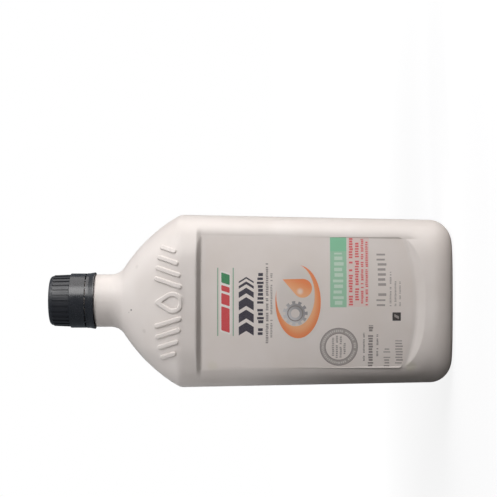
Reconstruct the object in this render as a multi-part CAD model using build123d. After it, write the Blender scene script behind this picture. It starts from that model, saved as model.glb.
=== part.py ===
from build123d import *
import os
from math import cos, degrees, pi, radians, sin, tan

# A quart bottle for motor oil: a blow-moulded flat bottle with a screw cap.
# Millimetres. +Z up, origin at the centre of the base, the label faces -Y.

# Overall sizes of the blown body
body_width = 102.0          # at the top of the tapered sides
side_taper = 3.1            # how far each side runs in on its way down to the base
body_depth = 67.0           # front to back, without the panels
neck_base_height = 199.9    # where the shoulder's flare runs into the neck
wall = 1.0                  # blown wall
heel_radius = 12.0          # round edge between sides and base

# Shoulder, as its outline is seen from the front
shoulder_corner_radius = 8.0
shoulder_start_angle = 30.0   # slope from the vertical where the shoulder begins
shoulder_end_angle = 57.0     # and where it ends
flare_radius = 9.5            # hollow curve from the shoulder into the neck

# How full a section is: the handle length of its curves as a share of the half size
body_fullness_share = 0.85
round_fullness_share = 0.5523
station_shares = (0, 0.25, 0.5, 0.75, 1)   # where a curve of the outline gets a section

# Recessed label panel, the same on the back
panel_depth = 1.8           # at its middle, below the body's own crown
panel_half_width = 38.5     # where the flatter panel runs out into the crown
panel_crown = 2.7           # how far the panel's edges lie behind its middle
panel_top_margin = 11.1     # from the shoulder's corner down to the foot of the upper ledge
panel_bottom = 21.6         # foot of the lower ledge at the middle
upper_ledge_slope = 2.0     # rise of the ledge for each unit of its depth
lower_ledge_slope = 2.5
upper_ledge_foot_radius = 1.5
lower_ledge_foot_radius = 4.0
ledge_edge_radius = 1.8     # where the ledges meet the body

# Push-up of the base
base_rim_width = 3.5        # flat ring that the bottle stands on, inside the heel
push_up_height = 2.4
push_up_slope = 1.6         # run of the push-up's side for each unit of its height
pinch_line_width = 1.2      # seam where the mould pinched the parison off
pinch_line_height = 0.5
pinch_line_length = 60.0

# Raised motif on the shoulder: the outline of a drop between rounded bars
relief_height = 0.9
relief_edge_radius = 0.75
relief_rise = 8.3           # from the shoulder's corner up to its centre line
drop_width = 12.5
drop_height = 18.0
drop_stroke = 2.8
drop_tip_radius = 1.6
drop_to_bar_gap = 5.15      # from the drop's side to the first bar's centre line
bar_width = 2.8
bar_gap = 3.6
bar_slant = 18.0
bar_lengths = (17.0, 15.5, 13.0, 10.0)

# Neck and finish, the threaded part that takes the cap
neck_diameter = 31.2
neck_length = 9.1
neck_edge_radius = 0.8
finish_height = 24.4        # from the top of the neck to the mouth
mouth_diameter = 21.8
finish_wall = 1.8           # from the mouth's bore out to the root of the thread
mouth_edge_radius = 0.5
throat_length = 3.6         # where the wide neck narrows to the mouth's bore
bead_projection = 1.6       # ring that keeps the tamper band on
bead_height = 1.6
bead_underside = 3.4        # above the top of the neck
bead_slope = 1.2            # run of its upper side

# Screw thread
thread_depth = 1.1
thread_pitch = 4.23
thread_turns = 1.6
thread_crest = 1.4
thread_flank_angle = 27.0
thread_top = 3.0            # from the mouth down to the last turn's middle
thread_play = 0.5           # between the two threads along the axis
thread_clearance = 0.25     # between the two threads across the axis
thread_root = 0.15          # how deep a thread is rooted in its wall

# Cap
cap_wall = 0.9              # between the bore and the grooves of the ribs, at their foot
cap_skirt_height = 8.8      # smooth lower part
cap_step_height = 0.5       # slope from the skirt in to the ribs
cap_rib_draft = 0.4         # the ribs lean in by this much on the way up
cap_rib_count = 30
cap_rib_depth = 0.5
cap_rib_share = 0.5         # width of a rib in its pitch
cap_top_thickness = 1.7
cap_edge_radius = 2.0       # the ribs end under this round
cap_lead_in_height = 4.2    # wider mouth of the cap, below its thread
cap_lead_in_gap = 0.75      # how much wider it is than the bore, all round
cap_lead_in_wall = 1.35

# Sealing disc in the cap
liner_thickness = 0.9
liner_clearance = 0.2

# Tamper band
band_height = 4.7
band_wall = 1.1
band_bead_clearance = 0.85  # between the bead and the band's bore
band_flare = 0.5            # how far its lower edge stands out
band_seat_gap = 0.3         # over the top of the neck
band_slit = 0.8             # between band and cap
band_hook_height = 1.5      # inner ring under the bead
band_hook_clearance = 0.4
band_hook_rise = 0.6        # from the band's lower edge up to the ring
bridge_count = 18
bridge_width = 1.3
bridge_gap = 0.1            # broken through just under the cap

# Front label
label_thickness = 0.1
label_glue_gap = 0.02
label_side_margin = 0.9     # inside the panel's half width
label_top_margin = 2.2      # from the foot of the upper ledge
label_bottom_margin = 2.2
label_corner_radius = 3.0

# Overrun of every cutting tool past the surface that it leaves
overrun = 4.0

body_half = body_width / 2
base_half = body_half - side_taper
depth_half = body_depth / 2
neck_radius = neck_diameter / 2
neck_top = neck_base_height + neck_length
mouth_height = neck_top + finish_height
mouth_radius = mouth_diameter / 2
finish_radius = mouth_radius + finish_wall
thread_radius = finish_radius + thread_depth
bead_radius = finish_radius + bead_projection
band_bore_radius = bead_radius + band_bead_clearance
band_foot = neck_top + band_seat_gap
band_top = band_foot + band_height
cap_foot = band_top + band_slit
cap_ceiling = mouth_height + liner_thickness
cap_top = cap_ceiling + cap_top_thickness
cap_bore_radius = thread_radius + thread_clearance
cap_groove_radius = cap_bore_radius + cap_wall
cap_rib_radius = cap_groove_radius + cap_rib_depth
cap_lead_in_radius = cap_bore_radius + cap_lead_in_gap
cap_skirt_radius = cap_lead_in_radius + cap_lead_in_wall
label_half_width = panel_half_width - label_side_margin


def section(half_width, half_depth, fullness, height):
    """One closed, rounded section of the bottle, from four like curves."""
    a, b = half_width, half_depth
    c, d = fullness * a, fullness * b
    corners = (
        ((a, 0), (a, d), (c, b), (0, b)),
        ((0, b), (-c, b), (-a, d), (-a, 0)),
        ((-a, 0), (-a, -d), (-c, -b), (0, -b)),
        ((0, -b), (c, -b), (a, -d), (a, 0)),
    )
    return Face(Wire([Bezier(*[(x, y, height) for x, y in points]) for points in corners]))


def shoulder_outline(inset):
    """Stations, as half width and height, of the shoulder's three curves at one wall depth."""
    start, end = radians(shoulder_start_angle), radians(shoulder_end_angle)
    corner = shoulder_corner_radius - inset
    flare = flare_radius + inset
    neck = neck_radius - inset
    half = body_half - inset
    flare_foot = neck + flare * (1 - cos(end))
    flare_foot_height = neck_base_height - flare * sin(end)
    arc = (half - corner * (1 - cos(start)) - flare_foot) / (cos(start) - cos(end))
    arc_foot = flare_foot + arc * (cos(start) - cos(end))
    arc_foot_height = flare_foot_height - arc * (sin(end) - sin(start))
    corner_points, arc_points, flare_points = [], [], []
    for share in station_shares:
        angle = share * start
        corner_points.append((arc_foot + corner * (cos(angle) - cos(start)),
                              arc_foot_height - corner * (sin(start) - sin(angle))))
        angle = start + share * (end - start)
        arc_points.append((flare_foot + arc * (cos(angle) - cos(end)),
                           flare_foot_height - arc * (sin(end) - sin(angle))))
        angle = (1 - share) * end
        flare_points.append((neck + flare * (1 - cos(angle)),
                             neck_base_height - flare * sin(angle)))
    return corner_points, arc_points, flare_points


def corner_height():
    """Where the shoulder's corner begins, above the straight sides."""
    return shoulder_outline(0)[0][0][1]


def panel_top():
    """Foot of the upper ledge."""
    return corner_height() - panel_top_margin


def shoulder_section(half_width, height, inset):
    """Depth and roundness follow the width, from the body's section to the round neck."""
    neck = neck_radius - inset
    share = (half_width - neck) / (body_half - inset - neck)
    half_depth = neck + (depth_half - inset - neck) * share
    fullness = round_fullness_share + (body_fullness_share - round_fullness_share) * share
    return section(half_width, half_depth, fullness, height)


def shoulder(inset):
    """The shoulder from its corner to the neck, one loft for each of its curves."""
    stretches = []
    for points in shoulder_outline(inset):
        sections = [shoulder_section(half, height, inset) for half, height in points]
        stretches.append(loft(sections))
    return stretches[0] + stretches[1] + stretches[2]


def panel_radius():
    return (panel_half_width ** 2 + panel_crown ** 2) / (2 * panel_crown)


def panel_axis():
    """Where the upright axis of the panel's round face lies behind it."""
    return -(depth_half - panel_depth) + panel_radius()


def ledge_shift(slope, inset):
    """How far a ledge's foot moves along the panel when the ledge is moved square to itself."""
    return inset * ((1 + slope ** 2) ** 0.5 - slope)


def panel_tool(inset):
    """The space in front of the label panel, down to one wall depth."""
    face = panel_radius() - inset
    reach = panel_depth + inset + overrun
    top = panel_top() + ledge_shift(upper_ledge_slope, inset)
    bottom = panel_bottom - ledge_shift(lower_ledge_slope, inset)
    lift = reach * upper_ledge_slope
    ring = Polyline(
        (face, bottom - reach * lower_ledge_slope - overrun),
        (face, top),
        (face + reach, top + lift),
        (face + reach, bottom - reach * lower_ledge_slope - overrun),
        close=True,
    )
    ring_face = Plane.XZ * make_face(ring)
    foot = ring_face.vertices().sort_by(Axis.X)[:2].sort_by(Axis.Z)[-1]
    ring_face = fillet(foot, upper_ledge_foot_radius + inset)
    turn = 2 * (panel_half_width + overrun) / face
    slab = revolve(ring_face, Axis.Z, degrees(turn))
    slab = Rot(Z=-90 - degrees(turn) / 2) * slab
    slab = Pos(0, panel_axis(), 0) * slab
    front = -(depth_half - panel_depth) + inset
    side = Polyline(
        (front + panel_crown + overrun, bottom + (panel_crown + overrun) * lower_ledge_slope),
        (front - reach, bottom - reach * lower_ledge_slope),
        (front - reach, top + lift + overrun),
        (front + panel_crown + overrun, top + lift + overrun),
        close=True,
    )
    block = extrude(Plane.YZ * make_face(side), panel_half_width + overrun, both=True)
    tool = slab & block
    lower_foot = tool.edges().filter_by(GeomType.ELLIPSE).sort_by(Axis.Y)[-1]
    return fillet(lower_foot, lower_ledge_foot_radius + inset)


def ledge_edges(form):
    """Where the ledges of both panels meet the body's own surface."""
    lower_limits = ((heel_radius + panel_bottom) / 2, panel_bottom + panel_crown * lower_ledge_slope)
    upper_limits = (panel_top(), panel_top() + panel_top_margin / 2)
    found = []
    for edge in form.edges().filter_by(GeomType.BSPLINE):
        height = edge.center().Z
        at_ledge = any(low < height < high for low, high in (lower_limits, upper_limits))
        if at_ledge and edge.length > panel_half_width / 2:
            found.append(edge)
    return found


def push_up_tool(inset):
    """The hollow under the base, or the space that the raised floor takes up inside."""
    height = push_up_height + inset
    rim = heel_radius + base_rim_width - inset * (1 + push_up_slope ** 2) ** 0.5
    run = rim + height * push_up_slope
    lower = section(base_half - rim, depth_half - rim, body_fullness_share, 0)
    upper = section(base_half - run, depth_half - run, body_fullness_share, height)
    plug = loft([lower, upper], ruled=True)
    below = extrude(lower, -overrun)
    return plug + below


def blown_form(inset):
    """The blown body from the base to the top of the neck, at one depth in its wall."""
    top = shoulder_outline(inset)[0][0]
    foot = section(base_half - inset, depth_half - inset, body_fullness_share, inset)
    body = loft([foot, shoulder_section(*top, inset)], ruled=True)
    body = fillet(body.faces().sort_by(Axis.Z)[0].edges(), heel_radius - inset)
    form = body + shoulder(inset)
    front = panel_tool(inset)
    form = form - front - Rot(Z=180) * front
    form = fillet(ledge_edges(form), ledge_edge_radius - inset)
    return form - push_up_tool(inset)


def neck_stub(inset, height):
    neck = neck_radius - inset
    return extrude(section(neck, neck, round_fullness_share, neck_base_height), height)


def finish():
    """The mouth's wall with its bead, turned about the axis."""
    bead_foot = neck_top + bead_underside
    outline = Polyline(
        (0, neck_top - neck_length / 2),
        (finish_radius, neck_top - neck_length / 2),
        (finish_radius, bead_foot),
        (bead_radius, bead_foot),
        (bead_radius, bead_foot + bead_height - bead_slope),
        (finish_radius, bead_foot + bead_height),
        (finish_radius, mouth_height),
        (0, mouth_height),
        close=True,
    )
    turned = revolve(Plane.XZ * make_face(outline), Axis.Z)
    rim = turned.faces().sort_by(Axis.Z)[-1].edges()
    return fillet(rim, mouth_edge_radius)


def thread(crest_radius, root_radius, crest_width, middle_foot):
    """A ridge that winds up the axis, from its root to its crest."""
    depth = abs(crest_radius - root_radius) + thread_root
    root = root_radius - thread_root if crest_radius > root_radius else root_radius + thread_root
    half_crest = crest_width / 2
    half_root = half_crest + depth * tan(radians(thread_flank_angle))
    path = Helix(thread_pitch, thread_pitch * thread_turns, root)
    path = Pos(0, 0, middle_foot) * path
    profile = Polyline(
        (root, middle_foot - half_root),
        (crest_radius, middle_foot - half_crest),
        (crest_radius, middle_foot + half_crest),
        (root, middle_foot + half_root),
        close=True,
    )
    return sweep(Plane.XZ * make_face(profile), path=path, is_frenet=True)


def drop_face(round_radius, tip_rise, tip_radius):
    """A drop with a rounded tip, about the middle of its round end."""
    lean = round_radius / tip_rise
    touch = (round_radius * (1 - lean ** 2) ** 0.5, round_radius * lean)
    outline = Line((0, tip_rise), touch)
    outline += ThreePointArc(touch, (0, -round_radius), (-touch[0], touch[1]))
    outline += Line((-touch[0], touch[1]), (0, tip_rise))
    drop = make_face(outline)
    return fillet(drop.vertices().sort_by(Axis.Y)[-1], tip_radius)


def relief_outline():
    """The raised motif as it is seen from the front, on the plane through the axis."""
    round_radius = drop_width / 2
    tip_rise = drop_height - round_radius
    hole_radius = round_radius - drop_stroke
    hole_rise = hole_radius * tip_rise / round_radius
    drop = drop_face(round_radius, tip_rise, drop_tip_radius)
    drop -= drop_face(hole_radius, hole_rise, drop_tip_radius / 2)
    middle = corner_height() + relief_rise
    motif = Plane.XZ * (Pos(0, middle - (drop_height / 2 - round_radius)) * drop)
    for side in (-1, 1):
        for place, length in enumerate(bar_lengths):
            across = side * (round_radius + drop_to_bar_gap + place * (bar_width + bar_gap))
            bar = Rot(Z=90 - side * bar_slant) * SlotOverall(length, bar_width)
            motif += Plane.XZ * (Pos(across, middle) * bar)
    return motif


def relief():
    """The raised motif, as high as the relief over the shoulder and rounded along its rims."""
    raised = shoulder(-relief_height) & extrude(relief_outline(), depth_half + overrun)
    front_faces = raised.faces().filter_by(GeomType.BSPLINE)
    side_edges = raised.faces().filter_by(GeomType.BSPLINE, reverse=True).edges()
    rims = [edge for edge in front_faces.edges() if any(edge.is_same(other) for other in side_edges)]
    return fillet(rims, relief_edge_radius)


def bottle():
    outside = blown_form(0)
    outside += relief()
    neck = neck_stub(0, neck_length)
    neck = fillet(neck.faces().sort_by(Axis.Z)[-1].edges(), neck_edge_radius)
    outside += neck
    outside += finish()
    thread_foot = mouth_height - thread_top - thread_pitch * thread_turns
    outside += thread(thread_radius, finish_radius, thread_crest, thread_foot)
    seam = Box(pinch_line_length, pinch_line_width, pinch_line_height + wall)
    seam = Pos(0, 0, push_up_height - pinch_line_height / 2 + wall / 2) * seam
    outside += seam
    throat_foot = neck_top - throat_length
    hollow = blown_form(wall)
    hollow += neck_stub(wall, throat_foot - neck_base_height)
    wide = section(neck_radius - wall, neck_radius - wall, round_fullness_share, throat_foot)
    tight = section(mouth_radius - wall, mouth_radius - wall, round_fullness_share, neck_top + wall)
    hollow += loft([wide, tight], ruled=True)
    bore = extrude(Pos(0, 0, throat_foot) * Circle(mouth_radius), finish_height + throat_length + overrun)
    return outside - hollow - bore


def cap_outline():
    """Half section of the cap's outside, under its ribs."""
    skirt_top = cap_foot + cap_skirt_height
    return Polyline(
        (0, cap_foot),
        (cap_skirt_radius, cap_foot),
        (cap_skirt_radius, skirt_top),
        (cap_groove_radius, skirt_top + cap_step_height),
        (cap_groove_radius - cap_rib_draft, cap_top),
        (0, cap_top),
        close=True,
    )


def cap():
    outside = revolve(Plane.XZ * make_face(cap_outline()), Axis.Z)
    top_edge = outside.faces().sort_by(Axis.Z)[-1].edges()
    outside = fillet(top_edge, cap_edge_radius)
    rib_foot = cap_foot + cap_skirt_height
    rib_width = cap_rib_share * 2 * pi * cap_rib_radius / cap_rib_count
    rib_top = cap_top - cap_edge_radius
    root = cap_groove_radius - cap_rib_draft - thread_root
    rib_side = Polyline(
        (root, rib_foot),
        (cap_rib_radius, rib_foot),
        (cap_rib_radius - cap_rib_draft, rib_top - cap_rib_depth),
        (cap_groove_radius - cap_rib_draft, rib_top),
        (root, rib_top),
        close=True,
    )
    rib = extrude(Plane.XZ * make_face(rib_side), rib_width / 2, both=True)
    outside += PolarLocations(0, cap_rib_count) * rib
    lead_in_top = cap_foot + cap_lead_in_height
    inside = Polyline(
        (0, cap_foot - overrun),
        (cap_lead_in_radius, cap_foot - overrun),
        (cap_lead_in_radius, lead_in_top),
        (cap_bore_radius, lead_in_top + cap_lead_in_gap),
        (cap_bore_radius, cap_ceiling),
        (0, cap_ceiling),
        close=True,
    )
    hollow = revolve(Plane.XZ * make_face(inside), Axis.Z)
    crest_radius = finish_radius + thread_clearance
    reach = (thread_radius - crest_radius) * tan(radians(thread_flank_angle))
    crest_width = thread_pitch - thread_crest - 2 * reach - 2 * thread_play
    thread_foot = mouth_height - thread_top - thread_pitch * thread_turns - thread_pitch / 2
    return outside - hollow + thread(crest_radius, cap_bore_radius, crest_width, thread_foot)


def cap_liner():
    radius = cap_bore_radius - liner_clearance
    return extrude(Pos(0, 0, mouth_height) * Circle(radius), liner_thickness)


def tamper_band():
    inner = band_bore_radius
    top = inner + band_wall
    foot = top + band_flare
    hook_radius = finish_radius + band_hook_clearance
    hook_foot = band_foot + band_hook_rise
    outline = Polyline(
        (inner, band_foot),
        (foot, band_foot),
        (foot, band_foot + band_hook_rise),
        (top, band_top - band_height / 3),
        (top, band_top),
        (inner, band_top),
        (inner, hook_foot + band_hook_height),
        (hook_radius, hook_foot + band_hook_height),
        (inner, hook_foot),
        close=True,
    )
    band = revolve(Plane.XZ * make_face(outline), Axis.Z)
    bridge_height = band_slit - bridge_gap
    bridge = Box(band_wall / 2, bridge_width, bridge_height + band_wall)
    bridge = Pos(0, 0, band_top + bridge_height / 2 - band_wall / 2) * bridge
    return band + PolarLocations(inner + band_wall / 2, bridge_count) * bridge


def front_label():
    """A thin film on the panel, between the two ledges."""
    inner = panel_radius() + label_glue_gap
    film = extrude(Circle(inner + label_thickness) - Circle(inner), mouth_height)
    film = Pos(0, panel_axis(), 0) * film
    top = panel_top() - label_top_margin
    bottom = panel_bottom + label_bottom_margin
    rise = panel_crown * lower_ledge_slope
    outline = Line((-label_half_width, bottom + rise), (-label_half_width, top))
    outline += Line((-label_half_width, top), (label_half_width, top))
    outline += Line((label_half_width, top), (label_half_width, bottom + rise))
    outline += ThreePointArc((label_half_width, bottom + rise), (0, bottom), (-label_half_width, bottom + rise))
    shape = make_face(outline)
    shape = fillet(shape.vertices(), label_corner_radius)
    return film & extrude(Plane.XZ * shape, depth_half + overrun)


os.makedirs("parts", exist_ok=True)
pieces = {
    "bottle": bottle,
    "cap": cap,
    "cap_liner": cap_liner,
    "tamper_band": tamper_band,
    "front_label": front_label,
}
for name, make in pieces.items():
    shape = make()
    export_step(shape, f"parts/{name}.step")
    print(name, round(shape.volume), len(shape.solids()))
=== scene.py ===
import math
import bpy
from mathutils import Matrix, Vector

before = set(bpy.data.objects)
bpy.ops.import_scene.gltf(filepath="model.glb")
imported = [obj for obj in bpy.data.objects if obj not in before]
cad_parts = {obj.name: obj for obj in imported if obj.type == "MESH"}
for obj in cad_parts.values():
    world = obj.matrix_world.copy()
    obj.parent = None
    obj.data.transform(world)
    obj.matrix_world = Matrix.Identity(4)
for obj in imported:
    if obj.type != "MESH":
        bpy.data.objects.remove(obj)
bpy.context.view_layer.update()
print("frame loaded:", ", ".join(sorted(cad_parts)))

mm = 0.001


# Small helpers for node trees

def addNode(tree, kind, **values):
    node = tree.nodes.new(kind)
    for name, value in values.items():
        setattr(node, name, value)
    return node


def feed(tree, socket, value):
    # a number or colour is set on the socket, an output is linked to it
    if isinstance(value, bpy.types.NodeSocket):
        tree.links.new(value, socket)
    else:
        socket.default_value = value


def mathNode(tree, operation, first, second=None, third=None):
    node = addNode(tree, "ShaderNodeMath", operation=operation)
    for socket, value in zip(node.inputs, (first, second, third)):
        if value is not None:
            feed(tree, socket, value)
    return node.outputs[0]


def square(tree, value):
    return mathNode(tree, "MULTIPLY", value, value)


def lengthOf(tree, right, rise):
    return mathNode(tree, "SQRT", mathNode(tree, "ADD", square(tree, right), square(tree, rise)))


def allOf(tree, *masks):
    result = masks[0]
    for mask in masks[1:]:
        result = mathNode(tree, "MULTIPLY", result, mask)
    return result


def anyOf(tree, *masks):
    result = masks[0]
    for mask in masks[1:]:
        result = mathNode(tree, "MAXIMUM", result, mask)
    return result


def mixColours(tree, factor, first, second):
    # inputs 6 and 7 and output 2 are the Mix node's colours
    node = addNode(tree, "ShaderNodeMix", data_type="RGBA")
    feed(tree, node.inputs[0], factor)
    feed(tree, node.inputs[6], first)
    feed(tree, node.inputs[7], second)
    return node.outputs[2]


def rangeNode(tree, value, low, high, toLow, toHigh, smooth=False):
    kind = "SMOOTHSTEP" if smooth else "LINEAR"
    node = addNode(tree, "ShaderNodeMapRange", interpolation_type=kind)
    for label, setting in zip(("Value", "From Min", "From Max", "To Min", "To Max"),
                              (value, low, high, toLow, toHigh)):
        feed(tree, node.inputs[label], setting)
    return node.outputs["Result"]


def splitNode(tree, kind, value):
    node = addNode(tree, kind)
    feed(tree, node.inputs[0], value)
    return node.outputs


def fromScreen(red, green, blue):
    # a colour as a screen shows it, 0 to 255, made linear for the sockets
    def linear(value):
        value /= 255
        return value / 12.92 if value <= 0.04045 else ((value + 0.055) / 1.055) ** 2.4
    return (linear(red), linear(green), linear(blue), 1.0)


def makeGroup(name, inputs, outputs):
    # an input without a value is a place
    group = bpy.data.node_groups.new(name, "ShaderNodeTree")
    for label, value in inputs.items():
        kind = "NodeSocketVector" if value is None else "NodeSocketFloat"
        socket = group.interface.new_socket(name=label, in_out="INPUT", socket_type=kind)
        if value is not None:
            socket.default_value = value
    for label in outputs:
        group.interface.new_socket(name=label, in_out="OUTPUT", socket_type="NodeSocketFloat")
    start = addNode(group, "NodeGroupInput")
    end = addNode(group, "NodeGroupOutput")
    return group, start.outputs, end.inputs


def useGroup(tree, group, **values):
    # a word pair such as Middle_Up names the input "Middle Up"
    node = addNode(tree, "ShaderNodeGroup", node_tree=group)
    for label, value in values.items():
        feed(tree, node.inputs[label.replace("_", " ")], value)
    return node.outputs


def plainMaterial(name):
    material = bpy.data.materials.new(name)
    material.use_nodes = True
    tree = material.node_tree
    shader = tree.nodes["Principled BSDF"]
    place = addNode(tree, "ShaderNodeTexCoord").outputs["Object"]
    return material, tree, shader, place


def giveBump(tree, shader, *heights):
    # heights are in metres
    total = heights[0]
    for height in heights[1:]:
        total = mathNode(tree, "ADD", total, height)
    bump = addNode(tree, "ShaderNodeBump")
    bump.inputs["Strength"].default_value = 1.0
    bump.inputs["Distance"].default_value = 1.0
    feed(tree, bump.inputs["Height"], total)
    feed(tree, shader.inputs["Normal"], bump.outputs["Normal"])


def dress(nodeName, material):
    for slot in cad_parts[nodeName].material_slots:
        slot.material = material


# Surface effects that more than one material uses

def makeMouldedGrain():
    # fine skin of a moulded surface, and broad clouds in it
    group, given, out = makeGroup("mouldedGrain", {
        "Place": None, "Fine": 1400.0, "Broad": 40.0, "Broad Share": 0.6, "Detail": 3.0,
        "Clouds From": 0.3, "Clouds To": 0.7}, ("Height", "Clouds"))
    noises = []
    for scale in ("Fine", "Broad"):
        noise = addNode(group, "ShaderNodeTexNoise")
        feed(group, noise.inputs["Vector"], given["Place"])
        feed(group, noise.inputs["Scale"], given[scale])
        feed(group, noise.inputs["Detail"], given["Detail"])
        noises.append(noise.outputs["Fac"])
    fine, broad = noises
    height = mathNode(group, "MULTIPLY_ADD", broad, given["Broad Share"], fine)
    clouds = rangeNode(group, broad, given["Clouds From"], given["Clouds To"], 0.0, 1.0)
    feed(group, out["Height"], height)
    feed(group, out["Clouds"], clouds)
    return group


def makeDustSpecks():
    # sparse dark specks, each inside its own cell
    group, given, out = makeGroup("dustSpecks", {
        "Place": None, "Cells": 60.0, "Share": 0.1, "Smallest": 0.012, "Size Spread": 0.03},
        ("Mask",))
    cells = addNode(group, "ShaderNodeTexVoronoi")
    feed(group, cells.inputs["Vector"], given["Place"])
    feed(group, cells.inputs["Scale"], given["Cells"])
    chances = splitNode(group, "ShaderNodeSeparateColor", cells.outputs["Color"])
    chosen = mathNode(group, "LESS_THAN", chances[0], given["Share"])
    size = mathNode(group, "MULTIPLY_ADD", chances[1], given["Size Spread"], given["Smallest"])
    inside = mathNode(group, "LESS_THAN", cells.outputs["Distance"], size)
    feed(group, out["Mask"], allOf(group, chosen, inside))
    return group


def makePanelForm():
    # height in metres: flattens the shading of the panel's crown, softens its side creases and
    # steepens its ledges
    group, given, out = makeGroup("panelForm", {
        "Place": None, "Foot Half": 0.03585, "Taper": 0.0204, "Radius": 0.2758, "Flatter": 0.3,
        "Reach": 0.007, "Slope": 0.48, "Foot": 0.0226, "Foot Slope": 2.5, "Foot Run": 0.013,
        "Top": 0.1454, "Top Run": 0.0034, "Ledge Rise": 0.0008, "Ledge Side": 0.038,
        "Ledge Fade": 0.012}, ("Height",))
    parts = splitNode(group, "ShaderNodeSeparateXYZ", given["Place"])
    across = mathNode(group, "ABSOLUTE", parts["X"])
    half = mathNode(group, "MULTIPLY_ADD", parts["Z"], given["Taper"], given["Foot Half"])
    within = mathNode(group, "MINIMUM", across, half)
    squares = mathNode(group, "SUBTRACT", square(group, within), square(group, half))
    halfBend = mathNode(group, "DIVIDE", 0.5, given["Radius"])
    crown = allOf(group, squares, halfBend, given["Flatter"])
    # the creases past the panel's sides
    past = mathNode(group, "MAXIMUM", mathNode(group, "SUBTRACT", across, half), 0.0)
    near = mathNode(group, "MINIMUM", past, given["Reach"])
    bend = mathNode(group, "DIVIDE", square(group, near), given["Reach"])
    rise = mathNode(group, "MULTIPLY_ADD", bend, -0.5, near)
    flat = mathNode(group, "MULTIPLY", given["Reach"], 0.5)
    crease = mathNode(group, "MULTIPLY", mathNode(group, "SUBTRACT", rise, flat), given["Slope"])
    # the foot of the lower ledge climbs towards the sides
    climb = mathNode(group, "MULTIPLY", square(group, within), halfBend)
    foot = mathNode(group, "MULTIPLY_ADD", climb, given["Foot Slope"], given["Foot"])
    footEnd = mathNode(group, "SUBTRACT", foot, given["Foot Run"])
    topEnd = mathNode(group, "ADD", given["Top"], given["Top Run"])
    overFoot = rangeNode(group, parts["Z"], footEnd, foot, 0.0, 1.0, smooth=True)
    overTop = rangeNode(group, parts["Z"], given["Top"], topEnd, 0.0, 1.0, smooth=True)
    underTop = mathNode(group, "SUBTRACT", 1.0, overTop)
    panel = allOf(group, mathNode(group, "ADD", crown, crease), overFoot, underTop)
    ledgeEnd = mathNode(group, "SUBTRACT", given["Ledge Side"], given["Ledge Fade"])
    inward = rangeNode(group, across, ledgeEnd, given["Ledge Side"], given["Ledge Rise"], 0.0,
                       smooth=True)
    feed(group, out["Height"], mathNode(group, "MULTIPLY_ADD", overTop, inward, panel))
    return group


def makeSpot():
    # a round patch that fades out from its middle
    group, given, out = makeGroup("spot", {
        "Place": None, "Middle": None, "Radius": 0.002, "Core": 0.3}, ("Mask",))
    away = addNode(group, "ShaderNodeVectorMath", operation="DISTANCE")
    feed(group, away.inputs[0], given["Place"])
    feed(group, away.inputs[1], given["Middle"])
    share = mathNode(group, "DIVIDE", away.outputs["Value"], given["Radius"])
    feed(group, out["Mask"], rangeNode(group, share, given["Core"], 1.0, 1.0, 0.0, smooth=True))
    return group


mouldedGrain = makeMouldedGrain()
panelForm = makePanelForm()
dustSpecks = makeDustSpecks()
spot = makeSpot()
print("shared effects built")


def addDust(tree, place, colour, look):
    mask = useGroup(tree, dustSpecks, Place=place, Cells=look["dustCells"],
                    Share=look["dustShare"])["Mask"]
    strength = mathNode(tree, "MULTIPLY", mask, look["dustStrength"])
    return mixColours(tree, strength, colour, look["dustColour"])


def markSurface(tree, place, colour, marks, ink):
    for middle, radius, strength in marks:
        mask = useGroup(tree, spot, Place=place, Middle=[part * mm for part in middle],
                        Radius=radius * mm)["Mask"]
        colour = mixColours(tree, mathNode(tree, "MULTIPLY", mask, strength), colour, ink)
    return colour


def giveRoughness(tree, shader, grain, look, base):
    # clouds of the grain are a little duller
    roughness = mathNode(tree, "MULTIPLY_ADD", grain["Clouds"], look["cloudRoughness"], base)
    feed(tree, shader.inputs["Roughness"], roughness)


# Blown bottle: pearl white polyethylene with a satin skin

bottleLook = {
    "colour": fromScreen(236, 229, 225),
    "cloudColour": fromScreen(229, 221, 216),
    "roughness": 0.4,
    "cloudRoughness": 0.06,
    "grainDepth": 0.012 * mm,
    "seamHalfWidth": 0.3 * mm,      # the mould's parting line, down both sides
    "seamHeight": 0.05 * mm,
    "dustColour": fromScreen(64, 54, 50),
    "dustCells": 170.0,
    "dustShare": 0.04,
    "dustStrength": 0.35,
    "speckColour": fromScreen(64, 54, 50),
    "scuffColour": fromScreen(176, 166, 160),
    "tintColour": fromScreen(205, 203, 170),
    # marks on the front, in millimetres: middle, radius, strength
    "specks": (((-4.7, -21.4, 186.5), 0.75, 0.85), ((-6.1, -20.3, 187.9), 0.5, 0.35)),
    "scuffs": (((-16.8, -24.5, 178.7), 1.8, 0.22), ((20.4, -19.7, 183.4), 1.8, 0.18)),
    "tints": (((-37.0, -29.0, 25.0), 4.5, 0.28), ((-36.5, -29.3, 139.0), 4.0, 0.16)),
}


def makeBottlePlastic():
    look = bottleLook
    material, tree, shader, place = plainMaterial("bottlePlastic")
    grain = useGroup(tree, mouldedGrain, Place=place)
    colour = mixColours(tree, grain["Clouds"], look["colour"], look["cloudColour"])
    colour = addDust(tree, place, colour, look)
    colour = markSurface(tree, place, colour, look["scuffs"], look["scuffColour"])
    colour = markSurface(tree, place, colour, look["tints"], look["tintColour"])
    colour = markSurface(tree, place, colour, look["specks"], look["speckColour"])
    feed(tree, shader.inputs["Base Color"], colour)
    giveRoughness(tree, shader, grain, look, look["roughness"])
    parts = splitNode(tree, "ShaderNodeSeparateXYZ", place)
    fromSeam = mathNode(tree, "ABSOLUTE", parts["Y"])
    seam = rangeNode(tree, fromSeam, 0.0, look["seamHalfWidth"], look["seamHeight"], 0.0,
                     smooth=True)
    skin = mathNode(tree, "MULTIPLY", grain["Height"], look["grainDepth"])
    giveBump(tree, shader, skin, seam, useGroup(tree, panelForm, Place=place)["Height"])
    return material


dress("bottle", makeBottlePlastic())
print("bottle dressed")


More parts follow.
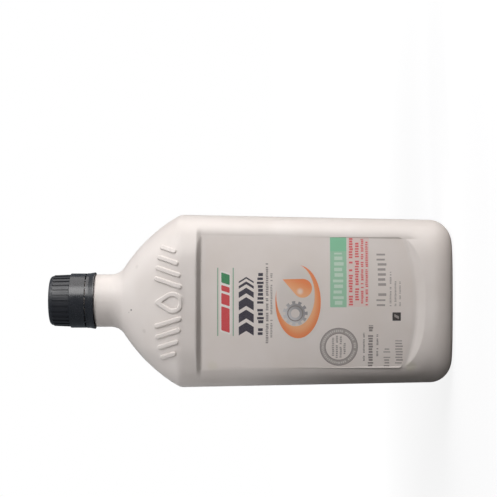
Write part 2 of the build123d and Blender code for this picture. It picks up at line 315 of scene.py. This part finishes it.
# Ink shapes for the label, in millimetres across (X) and up (Z)

inkShapes = {
    "leastReach": 0.001,        # keeps a bar with square corners from vanishing
    # how much the blocks of a row differ, as a share of a block and of the row's height
    "unevenWidth": 0.22,
    "unevenFoot": 0.18,
    "unevenTop": 0.2,
}


def makeInkBar():
    # a rounded bar, leaning if asked
    group, given, out = makeGroup("inkBar", {
        "Across": 0.0, "Up": 0.0, "Left": -5.0, "Right": 5.0, "Foot": 0.0, "Top": 2.0,
        "Corner": 0.0, "Lean": 0.0}, ("Mask",))

    def halfOf(operation, high, low):
        both = mathNode(group, operation, given[high], given[low])
        return mathNode(group, "MULTIPLY", both, 0.5)

    rise = mathNode(group, "SUBTRACT", given["Up"], halfOf("ADD", "Top", "Foot"))
    leaning = mathNode(group, "MULTIPLY", rise, given["Lean"])
    leaned = mathNode(group, "SUBTRACT", given["Across"], leaning)
    side = mathNode(group, "SUBTRACT", leaned, halfOf("ADD", "Right", "Left"))
    pasts = []
    for off, high, low in ((side, "Right", "Left"), (rise, "Top", "Foot")):
        core = mathNode(group, "SUBTRACT", halfOf("SUBTRACT", high, low), given["Corner"])
        past = mathNode(group, "SUBTRACT", mathNode(group, "ABSOLUTE", off), core)
        pasts.append(mathNode(group, "MAXIMUM", past, 0.0))
    reach = mathNode(group, "ADD", given["Corner"], inkShapes["leastReach"])
    feed(group, out["Mask"], mathNode(group, "LESS_THAN", lengthOf(group, *pasts), reach))
    return group


def makeInkRow():
    # a row of small uneven blocks in runs of different lengths
    look = inkShapes
    group, given, out = makeGroup("inkRow", {
        "Across": 0.0, "Up": 0.0, "Left": -10.0, "Right": 10.0, "Foot": 0.0, "Top": 2.0,
        "Block": 1.0, "Fill": 0.7, "Gaps": 0.16, "Seed": 1.0}, ("Mask",))
    fromLeft = mathNode(group, "SUBTRACT", given["Across"], given["Left"])
    along = mathNode(group, "DIVIDE", fromLeft, given["Block"])
    key = addNode(group, "ShaderNodeCombineXYZ")
    feed(group, key.inputs[0], mathNode(group, "FLOOR", along))
    feed(group, key.inputs[1], given["Seed"])
    noise = addNode(group, "ShaderNodeTexWhiteNoise", noise_dimensions="2D")
    feed(group, noise.inputs["Vector"], key.outputs[0])
    chances = splitNode(group, "ShaderNodeSeparateColor", noise.outputs["Color"])
    printed = mathNode(group, "GREATER_THAN", chances[0], given["Gaps"])
    narrowest = mathNode(group, "SUBTRACT", given["Fill"], look["unevenWidth"] / 2)
    width = mathNode(group, "MULTIPLY_ADD", chances[1], look["unevenWidth"], narrowest)
    wide = mathNode(group, "LESS_THAN", mathNode(group, "FRACT", along), width)
    rise = mathNode(group, "SUBTRACT", given["Up"], given["Foot"])
    tall = mathNode(group, "SUBTRACT", given["Top"], given["Foot"])
    share = mathNode(group, "DIVIDE", rise, tall)
    foot = mathNode(group, "MULTIPLY", chances[2], look["unevenFoot"])
    top = mathNode(group, "MULTIPLY_ADD", chances[1], -look["unevenTop"], 1.0)
    overFoot = mathNode(group, "GREATER_THAN", share, foot)
    underTop = mathNode(group, "LESS_THAN", share, top)
    afterLeft = mathNode(group, "GREATER_THAN", given["Across"], given["Left"])
    beforeRight = mathNode(group, "LESS_THAN", given["Across"], given["Right"])
    mask = allOf(group, printed, wide, overFoot, underTop, afterLeft, beforeRight)
    feed(group, out["Mask"], mask)
    return group


def makeRoundPlace():
    # distance out from a middle, and distance around it at a given radius
    group, given, out = makeGroup("roundPlace", {
        "Across": 0.0, "Up": 0.0, "Middle Across": 0.0, "Middle Up": 0.0, "Radius": 10.0},
        ("Out", "Around"))
    right = mathNode(group, "SUBTRACT", given["Across"], given["Middle Across"])
    rise = mathNode(group, "SUBTRACT", given["Up"], given["Middle Up"])
    feed(group, out["Out"], lengthOf(group, right, rise))
    angle = mathNode(group, "ARCTAN2", rise, right)
    feed(group, out["Around"], mathNode(group, "MULTIPLY", angle, given["Radius"]))
    return group


inkBar = makeInkBar()
inkRow = makeInkRow()
roundPlace = makeRoundPlace()


# Front label: pearl film with a generic print. Places are in millimetres from the bottle's
# axis and base

labelLook = {
    "film": fromScreen(234, 226, 222),
    "filmCloud": fromScreen(229, 220, 214),
    "roughness": 0.36,
    "cloudRoughness": 0.05,
    "grainDepth": 0.006 * mm,
    "wobbleScale": 1600.0,
    "edgeWobble": 0.09,
    "inkFade": 0.12,
    "red": fromScreen(214, 66, 72),
    "softRed": fromScreen(226, 104, 106),
    "green": fromScreen(48, 138, 88),
    "paleGreen": fromScreen(150, 180, 158),
    "navy": fromScreen(44, 40, 58),
    "grey": fromScreen(140, 132, 130),
    "paleGrey": fromScreen(168, 160, 157),
    "blush": fromScreen(233, 212, 207),
    "mint": fromScreen(158, 206, 176),
    "deepMint": fromScreen(144, 206, 170),
    "paleMint": fromScreen(206, 226, 210),
    "white": fromScreen(238, 234, 230),
    "black": fromScreen(38, 34, 36),
    "orange": fromScreen(242, 138, 80),
    "paleOrange": fromScreen(246, 182, 132),
    "steel": fromScreen(150, 148, 150),
    "paleSteel": fromScreen(204, 202, 204),
}

# plain bars, bottom layer first: left, right, foot, top, corner, lean, ink
labelBars = (
    (-19.2, 20.0, 126.8, 127.5, 0.3, 0.0, "paleGreen"),
    (-19.2, 20.0, 135.7, 136.4, 0.3, 0.0, "paleGreen"),
    (-17.6, 17.6, 128.6, 134.6, 0.8, 0.32, "white"),
    (-16.6, -2.8, 129.2, 134.0, 0.5, 0.32, "red"),
    (-1.4, 4.8, 129.2, 134.0, 0.5, 0.32, "red"),
    (6.2, 9.4, 129.2, 134.0, 0.5, 0.32, "red"),
    (10.8, 16.6, 129.2, 134.0, 0.5, 0.32, "green"),
    (-2.4, 37.4, 49.3, 61.6, 0.6, 0.0, "blush"),
    (-2.7, 37.4, 62.2, 71.6, 0.3, 0.0, "mint"),
    (29.4, 37.4, 62.2, 71.6, 0.3, 0.0, "deepMint"),
    (-10.4, -5.6, 31.1, 35.9, 0.3, 0.0, "black"),
    (-8.8, -7.2, 32.2, 34.8, 0.2, 0.5, "paleGrey"),
)

# row of chevrons, each a left and a right
chevronPlan = {
    "sides": ((-17.6, -12.6), (-10.4, -5.4), (-3.2, 1.8), (4.0, 7.2), (9.2, 10.8), (12.4, 13.4)),
    "foot": 115.4,
    "middle": 119.7,
    "top": 124.0,
    "lean": 0.62,
    "ink": "navy",
}

# rows of small blocks: left, right, foot, top, block, fill, gaps, ink
labelRows = (
    (-18.6, 17.0, 109.6, 113.6, 2.25, 0.68, 0.12, "navy"),
    (-24.4, 22.6, 106.9, 108.6, 1.05, 0.7, 0.17, "grey"),
    (-20.0, 17.0, 104.6, 106.0, 0.95, 0.7, 0.2, "paleGrey"),
    (-1.2, 28.6, 63.8, 70.0, 3.2, 0.6, 0.13, "paleMint"),
    (-1.6, 37.0, 58.4, 61.0, 1.5, 0.74, 0.13, "softRed"),
    (-1.6, 34.4, 55.0, 57.4, 1.45, 0.74, 0.14, "softRed"),
    (-1.6, 36.4, 52.4, 54.1, 1.1, 0.7, 0.16, "softRed"),
    (-1.6, 37.0, 49.9, 51.5, 1.05, 0.7, 0.16, "softRed"),
    (-2.0, 29.4, 39.2, 45.2, 2.9, 0.42, 0.12, "paleGrey"),
    (-2.0, 17.6, 36.4, 37.6, 0.8, 0.66, 0.2, "paleGrey"),
    (-2.0, 14.0, 33.6, 34.8, 0.8, 0.66, 0.2, "paleGrey"),
    (-2.0, 12.0, 31.0, 32.1, 0.8, 0.66, 0.2, "paleGrey"),
    (-34.4, -17.4, 51.6, 52.8, 0.8, 0.66, 0.2, "grey"),
    (-36.7, -13.0, 46.8, 49.9, 1.55, 0.7, 0.14, "grey"),
    (-31.6, -18.0, 43.9, 45.1, 0.8, 0.66, 0.2, "grey"),
    (-36.7, -26.4, 37.0, 41.0, 1.6, 0.5, 0.1, "paleGrey"),
    (-36.7, -21.7, 29.6, 34.4, 1.6, 0.55, 0.12, "paleGrey"),
)

# round seal: a ring with blocks in it, and rows of blocks inside the ring
sealPlan = {
    "middle": (-25.4, 66.6),
    "bandMiddle": 9.2,
    "bandHalf": 1.55,
    "lineHalf": 0.16,
    "blocksHalf": 0.75,
    "block": 1.15,
    "blockSeed": 31.0,
    "blockInk": 0.55,
    "rowHalf": (5.2, 6.4, 6.2, 4.2),
    "rowPitch": 2.2,
    "rowTall": 1.4,
    "rowBlock": 1.1,
    "rowSeed": 40.0,
    "rowInk": 0.8,
}

# picture: a sweep of oil round a gear wheel and a drop
sweepPlan = {
    "squeeze": 0.62,
    "outer": (0.3, 90.0, 13.0),     # middle across and up, radius
    "inner": (2.6, 91.5, 11.0),
    "shadow": (9.5, 15.5),          # from and to, out from the middle
    "shadowInk": 0.2,
    "shadeRun": 2.4,
}
gearPlan = {
    "middle": (-6.2, 91.6),
    "root": 5.6,
    "tooth": 1.5,
    "teeth": 11,
    "toothShare": 0.52,
    "hole": 2.5,
    "rim": 4.3,
    "rimHalf": 0.3,
    "shadeReach": 7.0,
}
dropPlan = {
    "middle": (8.2, 87.4),
    "radius": 5.4,
    "tip": 12.6,
    "turn": math.radians(-24),
    "shine": (-2.2, 0.6, 2.6),      # middle in the turned drop, radius
    "shineCore": 0.4,
    "shineInk": 0.6,
}


def printInk(tree, under, mask, ink, fade):
    # ink is the name of a colour of the label, or a shaded colour
    colour = labelLook[ink] if isinstance(ink, str) else ink
    return mixColours(tree, mathNode(tree, "MULTIPLY", mask, fade), under, colour)


def shadeInks(tree, value, low, high, first, second):
    shade = rangeNode(tree, value, low, high, 0.0, 1.0, smooth=True)
    return mixColours(tree, shade, labelLook[first], labelLook[second])


def inkMask(tree, group, across, up, box, **values):
    left, right, foot, top = box
    return useGroup(tree, group, Across=across, Up=up, Left=left, Right=right, Foot=foot,
                    Top=top, **values)["Mask"]


def placeRound(tree, across, up, middleAcross, middleUp, radius):
    return useGroup(tree, roundPlace, Across=across, Up=up, Middle_Across=middleAcross,
                    Middle_Up=middleUp, Radius=radius)


def makeDisc(tree, across, up, middleAcross, middleUp, radius):
    place = placeRound(tree, across, up, middleAcross, middleUp, radius)
    return place, mathNode(tree, "LESS_THAN", place["Out"], radius)


def printSweep(tree, across, up, colour, fade):
    plan = sweepPlan
    squeezed = mathNode(tree, "MULTIPLY", across, plan["squeeze"])
    outerPlace, outer = makeDisc(tree, squeezed, up, *plan["outer"])
    inner = makeDisc(tree, squeezed, up, *plan["inner"])[1]
    away = outerPlace["Out"]
    shadow = rangeNode(tree, away, *plan["shadow"], plan["shadowInk"], 0.0, smooth=True)
    colour = mixColours(tree, shadow, colour, labelLook["paleGrey"])
    crescent = mathNode(tree, "MULTIPLY", outer, mathNode(tree, "SUBTRACT", 1.0, inner))
    innerRadius, outerRadius = plan["inner"][2], plan["outer"][2]
    orange = shadeInks(tree, away, innerRadius - plan["shadeRun"], outerRadius,
                       "paleOrange", "orange")
    return printInk(tree, colour, crescent, orange, fade)


def printGear(tree, across, up, colour, fade):
    plan = gearPlan
    middleAcross, middleUp = plan["middle"]
    place, hub = makeDisc(tree, across, up, middleAcross, middleUp, plan["root"])
    pitch = 2 * math.pi * plan["root"] / plan["teeth"]
    turned = mathNode(tree, "FRACT", mathNode(tree, "DIVIDE", place["Around"], pitch))
    tooth = mathNode(tree, "LESS_THAN", turned, plan["toothShare"])
    reach = mathNode(tree, "LESS_THAN", place["Out"], plan["root"] + plan["tooth"])
    hole = mathNode(tree, "GREATER_THAN", place["Out"], plan["hole"])
    wheel = allOf(tree, anyOf(tree, hub, allOf(tree, tooth, reach)), hole)
    slope = mathNode(tree, "SUBTRACT", mathNode(tree, "SUBTRACT", up, middleUp),
                     mathNode(tree, "SUBTRACT", across, middleAcross))
    steel = shadeInks(tree, slope, -plan["shadeReach"], plan["shadeReach"],
                      "steel", "paleSteel")
    colour = printInk(tree, colour, wheel, steel, fade)
    rim = mathNode(tree, "COMPARE", place["Out"], plan["rim"], plan["rimHalf"])
    return printInk(tree, colour, rim, "grey", fade)


def printDrop(tree, across, up, colour, fade):
    plan = dropPlan
    radius, tip = plan["radius"], plan["tip"]
    middleAcross, middleUp = plan["middle"]
    right = mathNode(tree, "SUBTRACT", across, middleAcross)
    rise = mathNode(tree, "SUBTRACT", up, middleUp)
    sine, cosine = math.sin(plan["turn"]), math.cos(plan["turn"])
    turnedRise = mathNode(tree, "MULTIPLY", rise, sine)
    turnedRight = mathNode(tree, "MULTIPLY", right, -sine)
    side = mathNode(tree, "MULTIPLY_ADD", right, cosine, turnedRise)
    ahead = mathNode(tree, "MULTIPLY_ADD", rise, cosine, turnedRight)
    disc = makeDisc(tree, side, ahead, 0.0, 0.0, radius)[1]
    # the cone that touches the disc, up to the drop's tip
    lean = radius / tip
    spread = math.tan(math.asin(lean))
    width = mathNode(tree, "MULTIPLY", mathNode(tree, "SUBTRACT", tip, ahead), spread)
    narrow = mathNode(tree, "LESS_THAN", mathNode(tree, "ABSOLUTE", side), width)
    past = mathNode(tree, "GREATER_THAN", ahead, radius * lean)
    body = anyOf(tree, disc, allOf(tree, narrow, past))
    orange = shadeInks(tree, side, -radius, radius, "paleOrange", "orange")
    colour = printInk(tree, colour, body, orange, fade)
    away = placeRound(tree, side, ahead, *plan["shine"])["Out"]
    shine = rangeNode(tree, away, plan["shineCore"], plan["shine"][2], plan["shineInk"], 0.0,
                      smooth=True)
    return mixColours(tree, shine, colour, labelLook["white"])


def printBars(tree, across, up, colour, fade):
    for *box, corner, lean, ink in labelBars:
        mask = inkMask(tree, inkBar, across, up, box, Corner=corner, Lean=lean)
        colour = printInk(tree, colour, mask, ink, fade)
    return colour


def printChevrons(tree, across, up, colour, fade):
    plan = chevronPlan
    for left, right in plan["sides"]:
        for foot, top, lean in ((plan["foot"], plan["middle"], plan["lean"]),
                                (plan["middle"], plan["top"], -plan["lean"])):
            mask = inkMask(tree, inkBar, across, up, (left, right, foot, top), Lean=lean)
            colour = printInk(tree, colour, mask, plan["ink"], fade)
    return colour


def printRows(tree, across, up, colour, fade):
    for number, (*box, block, fill, gaps, ink) in enumerate(labelRows):
        mask = inkMask(tree, inkRow, across, up, box, Block=block, Fill=fill, Gaps=gaps,
                       Seed=float(number))
        colour = printInk(tree, colour, mask, ink, fade)
    return colour


def printSeal(tree, across, up, colour, fade):
    plan = sealPlan
    middleAcross, middleUp = plan["middle"]
    middle = plan["bandMiddle"]
    place = placeRound(tree, across, up, middleAcross, middleUp, middle)
    halfTurn = math.pi * middle

    def ringMask(group, foot, top, **values):
        box = (-halfTurn, halfTurn, foot, top)
        return inkMask(tree, group, place["Around"], place["Out"], box, **values)

    bandFoot, bandTop = middle - plan["bandHalf"], middle + plan["bandHalf"]
    colour = printInk(tree, colour, ringMask(inkBar, bandFoot, bandTop), "paleGrey", fade)
    blocks = ringMask(inkRow, middle - plan["blocksHalf"], middle + plan["blocksHalf"],
                      Block=plan["block"], Seed=plan["blockSeed"])
    blockFade = mathNode(tree, "MULTIPLY", fade, plan["blockInk"])
    colour = printInk(tree, colour, blocks, "white", blockFade)
    for edge in (bandFoot, bandTop):
        line = ringMask(inkBar, edge - plan["lineHalf"], edge + plan["lineHalf"])
        colour = printInk(tree, colour, line, "grey", fade)
    rowFade = mathNode(tree, "MULTIPLY", fade, plan["rowInk"])
    rowsOver = (len(plan["rowHalf"]) - 1) / 2       # rows over the seal's middle
    for number, half in enumerate(plan["rowHalf"]):
        foot = middleUp + (rowsOver - number) * plan["rowPitch"] - plan["rowTall"] / 2
        box = (middleAcross - half, middleAcross + half, foot, foot + plan["rowTall"])
        row = inkMask(tree, inkRow, across, up, box, Block=plan["rowBlock"],
                      Seed=plan["rowSeed"] + number)
        colour = printInk(tree, colour, row, "grey", rowFade)
    return colour


def makeLabelFilm():
    look = labelLook
    material, tree, shader, place = plainMaterial("labelFilm")
    grain = useGroup(tree, mouldedGrain, Place=place)
    colour = mixColours(tree, grain["Clouds"], look["film"], look["filmCloud"])
    # the ink's edges wander a little, and its strength varies with them
    noise = addNode(tree, "ShaderNodeTexNoise")
    noise.inputs["Scale"].default_value = look["wobbleScale"]
    feed(tree, noise.inputs["Vector"], place)
    wobble = noise.outputs["Fac"]
    shift = mathNode(tree, "MULTIPLY_ADD", wobble, look["edgeWobble"] * 2, -look["edgeWobble"])
    fade = mathNode(tree, "MULTIPLY_ADD", wobble, -look["inkFade"], 1.0)
    parts = splitNode(tree, "ShaderNodeSeparateXYZ", place)
    across = mathNode(tree, "MULTIPLY_ADD", parts["X"], 1 / mm, shift)
    up = mathNode(tree, "MULTIPLY_ADD", parts["Z"], 1 / mm, shift)
    for printPart in (printSweep, printGear, printDrop, printBars, printChevrons, printRows,
                      printSeal):
        colour = printPart(tree, across, up, colour, fade)
    colour = markSurface(tree, place, colour, bottleLook["tints"], bottleLook["tintColour"])
    feed(tree, shader.inputs["Base Color"], colour)
    giveRoughness(tree, shader, grain, look, look["roughness"])
    skin = mathNode(tree, "MULTIPLY", grain["Height"], look["grainDepth"])
    giveBump(tree, shader, skin, useGroup(tree, panelForm, Place=place)["Height"])
    return material


dress("front_label", makeLabelFilm())
print("label printed")


# Black closure: moulded polypropylene

capLook = {
    "colour": fromScreen(32, 34, 40),
    "wornColour": fromScreen(58, 58, 62),
    "wornShare": 0.3,
    "mirror": 1.65,             # index of refraction
    "roughness": 0.2,
    "cloudRoughness": 0.1,
    "gripFoot": 223.6 * mm,     # the ribs begin here, handled to a duller skin
    "gripRun": 0.4 * mm,
    "gripRoughness": 0.16,
    "fineGrain": 1800.0,
    "broadGrain": 160.0,
    "grainDepth": 0.006 * mm,
    "dustColour": fromScreen(120, 114, 108),
    "dustCells": 420.0,
    "dustShare": 0.12,
    "dustStrength": 0.35,
}


def makeCapPlastic():
    look = capLook
    material, tree, shader, place = plainMaterial("capPlastic")
    grain = useGroup(tree, mouldedGrain, Place=place, Fine=look["fineGrain"],
                     Broad=look["broadGrain"])
    worn = mathNode(tree, "MULTIPLY", grain["Clouds"], look["wornShare"])
    colour = mixColours(tree, worn, look["colour"], look["wornColour"])
    feed(tree, shader.inputs["Base Color"], addDust(tree, place, colour, look))
    parts = splitNode(tree, "ShaderNodeSeparateXYZ", place)
    base = rangeNode(tree, parts["Z"], look["gripFoot"], look["gripFoot"] + look["gripRun"],
                     look["roughness"], look["roughness"] + look["gripRoughness"])
    giveRoughness(tree, shader, grain, look, base)
    shader.inputs["IOR"].default_value = look["mirror"]
    giveBump(tree, shader, mathNode(tree, "MULTIPLY", grain["Height"], look["grainDepth"]))
    return material


capPlastic = makeCapPlastic()
dress("cap", capPlastic)
dress("tamper_band", capPlastic)
print("closure dressed")


# Sealing disc under the cap: white foam with fine cells

linerLook = {
    "colour": fromScreen(228, 227, 222),
    "cellColour": fromScreen(205, 203, 197),
    "cells": 2600.0,
    "cellDepth": 0.03 * mm,
    "roughness": 0.75,
}


def makeLinerFoam():
    look = linerLook
    material, tree, shader, place = plainMaterial("linerFoam")
    cells = addNode(tree, "ShaderNodeTexVoronoi")
    feed(tree, cells.inputs["Vector"], place)
    cells.inputs["Scale"].default_value = look["cells"]
    away = cells.outputs["Distance"]
    colour = mixColours(tree, away, look["cellColour"], look["colour"])
    feed(tree, shader.inputs["Base Color"], colour)
    shader.inputs["Roughness"].default_value = look["roughness"]
    giveBump(tree, shader, mathNode(tree, "MULTIPLY", away, look["cellDepth"]))
    return material


dress("cap_liner", makeLinerFoam())
print("liner dressed")


# Floor, backdrop and lamps

stageLook = {
    "size": 12.0,
    "seenColour": fromScreen(120, 120, 122),    # takes the shadow that the camera sees
    "nearGlow": 0.88,           # leaves room for the shadow round the object
    "farGlow": 1.0,
    "nearReach": 0.12,
    "farReach": 0.6,
    "bounceColour": fromScreen(176, 174, 172),
    "skyColour": (1.0, 1.0, 1.0, 1.0),
    "skyStrength": 0.02,
    "mirrorColour": (0.8, 0.9, 1.0, 1.0),       # cool room that the shiny surfaces mirror
    "mirrorStrength": 0.2,
}

# azimuth turns from the front, -Y, towards +X. Angles are in degrees, power is in watts
studioLamps = (
    {"name": "windowLamp", "azimuth": 76, "elevation": 7.5, "distance": 1.2,
     "size": (2.3, 0.53), "power": 6.6, "aim": (0, 0, 0.17), "colour": (1.0, 0.96, 0.93)},
    {"name": "sideLamp", "azimuth": 44, "elevation": 8, "distance": 0.8,
     "size": (0.5, 0.5), "power": 1.95, "aim": (0, 0, 0.1)},
    {"name": "frontLamp", "azimuth": 44, "elevation": 35, "distance": 0.8,
     "size": (0.5, 0.5), "power": 1.5, "aim": (0, 0, 0.1)},
    {"name": "topLamp", "azimuth": 76, "elevation": 60, "distance": 0.8,
     "size": (0.5, 0.5), "power": 1.35, "aim": (0, 0, 0.1)},
    {"name": "baseLamp", "azimuth": 74, "elevation": 4, "distance": 0.6,
     "size": (0.3, 0.3), "power": 0.85, "aim": (0, 0, 0)},
    # two narrow fills, for the far sides of the shoulder and the panel
    {"name": "fillLamp", "azimuth": -70, "elevation": 45, "distance": 0.45,
     "size": (0.12, 0.12), "power": 0.021, "aim": (-0.02, 0, 0.17), "spread": 22,
     "mirrored": False},        # it would leave a glint on the cap
    {"name": "panelFillLamp", "azimuth": -75, "elevation": 8, "distance": 0.4,
     "size": (0.08, 0.08), "power": 0.004, "aim": (-0.036, 0, 0.13), "spread": 16,
     "mirrored": False},
)


def makeFloorMaterial():
    look = stageLook
    material = bpy.data.materials.new("floorWhite")
    material.use_nodes = True
    tree = material.node_tree
    tree.nodes.clear()
    end = addNode(tree, "ShaderNodeOutputMaterial")
    path = addNode(tree, "ShaderNodeLightPath")
    seenDiffuse = addNode(tree, "ShaderNodeBsdfDiffuse")
    seenDiffuse.inputs["Color"].default_value = look["seenColour"]
    glow = addNode(tree, "ShaderNodeEmission")
    place = addNode(tree, "ShaderNodeTexCoord").outputs["Object"]
    away = addNode(tree, "ShaderNodeVectorMath", operation="LENGTH")
    feed(tree, away.inputs[0], place)
    strength = rangeNode(tree, away.outputs["Value"], look["nearReach"], look["farReach"],
                         look["nearGlow"], look["farGlow"], smooth=True)
    feed(tree, glow.inputs["Strength"], strength)
    seen = addNode(tree, "ShaderNodeAddShader")
    feed(tree, seen.inputs[0], seenDiffuse.outputs[0])
    feed(tree, seen.inputs[1], glow.outputs[0])
    bounce = addNode(tree, "ShaderNodeBsdfDiffuse")
    bounce.inputs["Color"].default_value = look["bounceColour"]
    either = addNode(tree, "ShaderNodeMixShader")
    feed(tree, either.inputs[0], path.outputs["Is Camera Ray"])
    feed(tree, either.inputs[1], bounce.outputs[0])
    feed(tree, either.inputs[2], seen.outputs[0])
    feed(tree, end.inputs["Surface"], either.outputs[0])
    return material


def makeFloor():
    bpy.ops.object.select_all(action="DESELECT")
    bpy.ops.mesh.primitive_plane_add(size=stageLook["size"], location=(0, 0, 0))
    floor = bpy.context.object
    floor.name = "floor"
    floor.data.materials.append(makeFloorMaterial())


def makeSky():
    look = stageLook
    world = bpy.data.worlds.new("studioSky")
    bpy.context.scene.world = world
    world.use_nodes = True
    tree = world.node_tree
    background = tree.nodes["Background"]
    path = addNode(tree, "ShaderNodeLightPath")
    seen = anyOf(tree, path.outputs["Is Camera Ray"], path.outputs["Is Transmission Ray"])
    mirrored = path.outputs["Is Glossy Ray"]
    colour = mixColours(tree, mirrored, look["skyColour"], look["mirrorColour"])
    feed(tree, background.inputs["Color"], colour)
    room = rangeNode(tree, mirrored, 0.0, 1.0, look["skyStrength"], look["mirrorStrength"])
    feed(tree, background.inputs["Strength"], mathNode(tree, "MAXIMUM", room, seen))


def placeLamp(name, azimuth, elevation, distance, size, power, aim, colour=(1.0, 1.0, 1.0),
              spread=180, mirrored=True):
    turn, rise = math.radians(azimuth), math.radians(elevation)
    level = math.cos(rise)
    toLamp = Vector((math.sin(turn) * level, -math.cos(turn) * level, math.sin(rise)))
    bpy.ops.object.light_add(type="AREA", location=Vector(aim) + toLamp * distance)
    lamp = bpy.context.object
    lamp.name = name
    lamp.data.shape = "RECTANGLE"
    lamp.data.size, lamp.data.size_y = size
    lamp.data.energy = power
    lamp.data.color = colour
    lamp.data.spread = math.radians(spread)
    lamp.rotation_euler = toLamp.to_track_quat("Z", "Y").to_euler()
    lamp.visible_glossy = mirrored


makeFloor()
makeSky()
for lampLook in studioLamps:
    placeLamp(**lampLook)


# Camera: the photograph shows the bottle on its side, so the camera is rolled and its right
# is down

photoView = {
    "distance": 850 * mm,
    "across": 31 * mm,
    "height": 118.4 * mm,
    "tilt": 90,
    "roll": 90,
    "sensor": 36,
    "focalPixels": 1428,
    "pixels": 497,
}


def placeCamera():
    view = photoView
    bpy.ops.object.camera_add(location=(view["across"], -view["distance"], view["height"]))
    camera = bpy.context.object
    camera.name = "photoCamera"
    camera.rotation_euler = (math.radians(view["tilt"]), math.radians(view["roll"]), 0)
    camera.data.sensor_width = view["sensor"]
    camera.data.lens = view["sensor"] * view["focalPixels"] / view["pixels"]
    bpy.context.scene.camera = camera


placeCamera()
bpy.context.scene.view_settings.view_transform = "Standard"
print("stage, lamps and camera set")
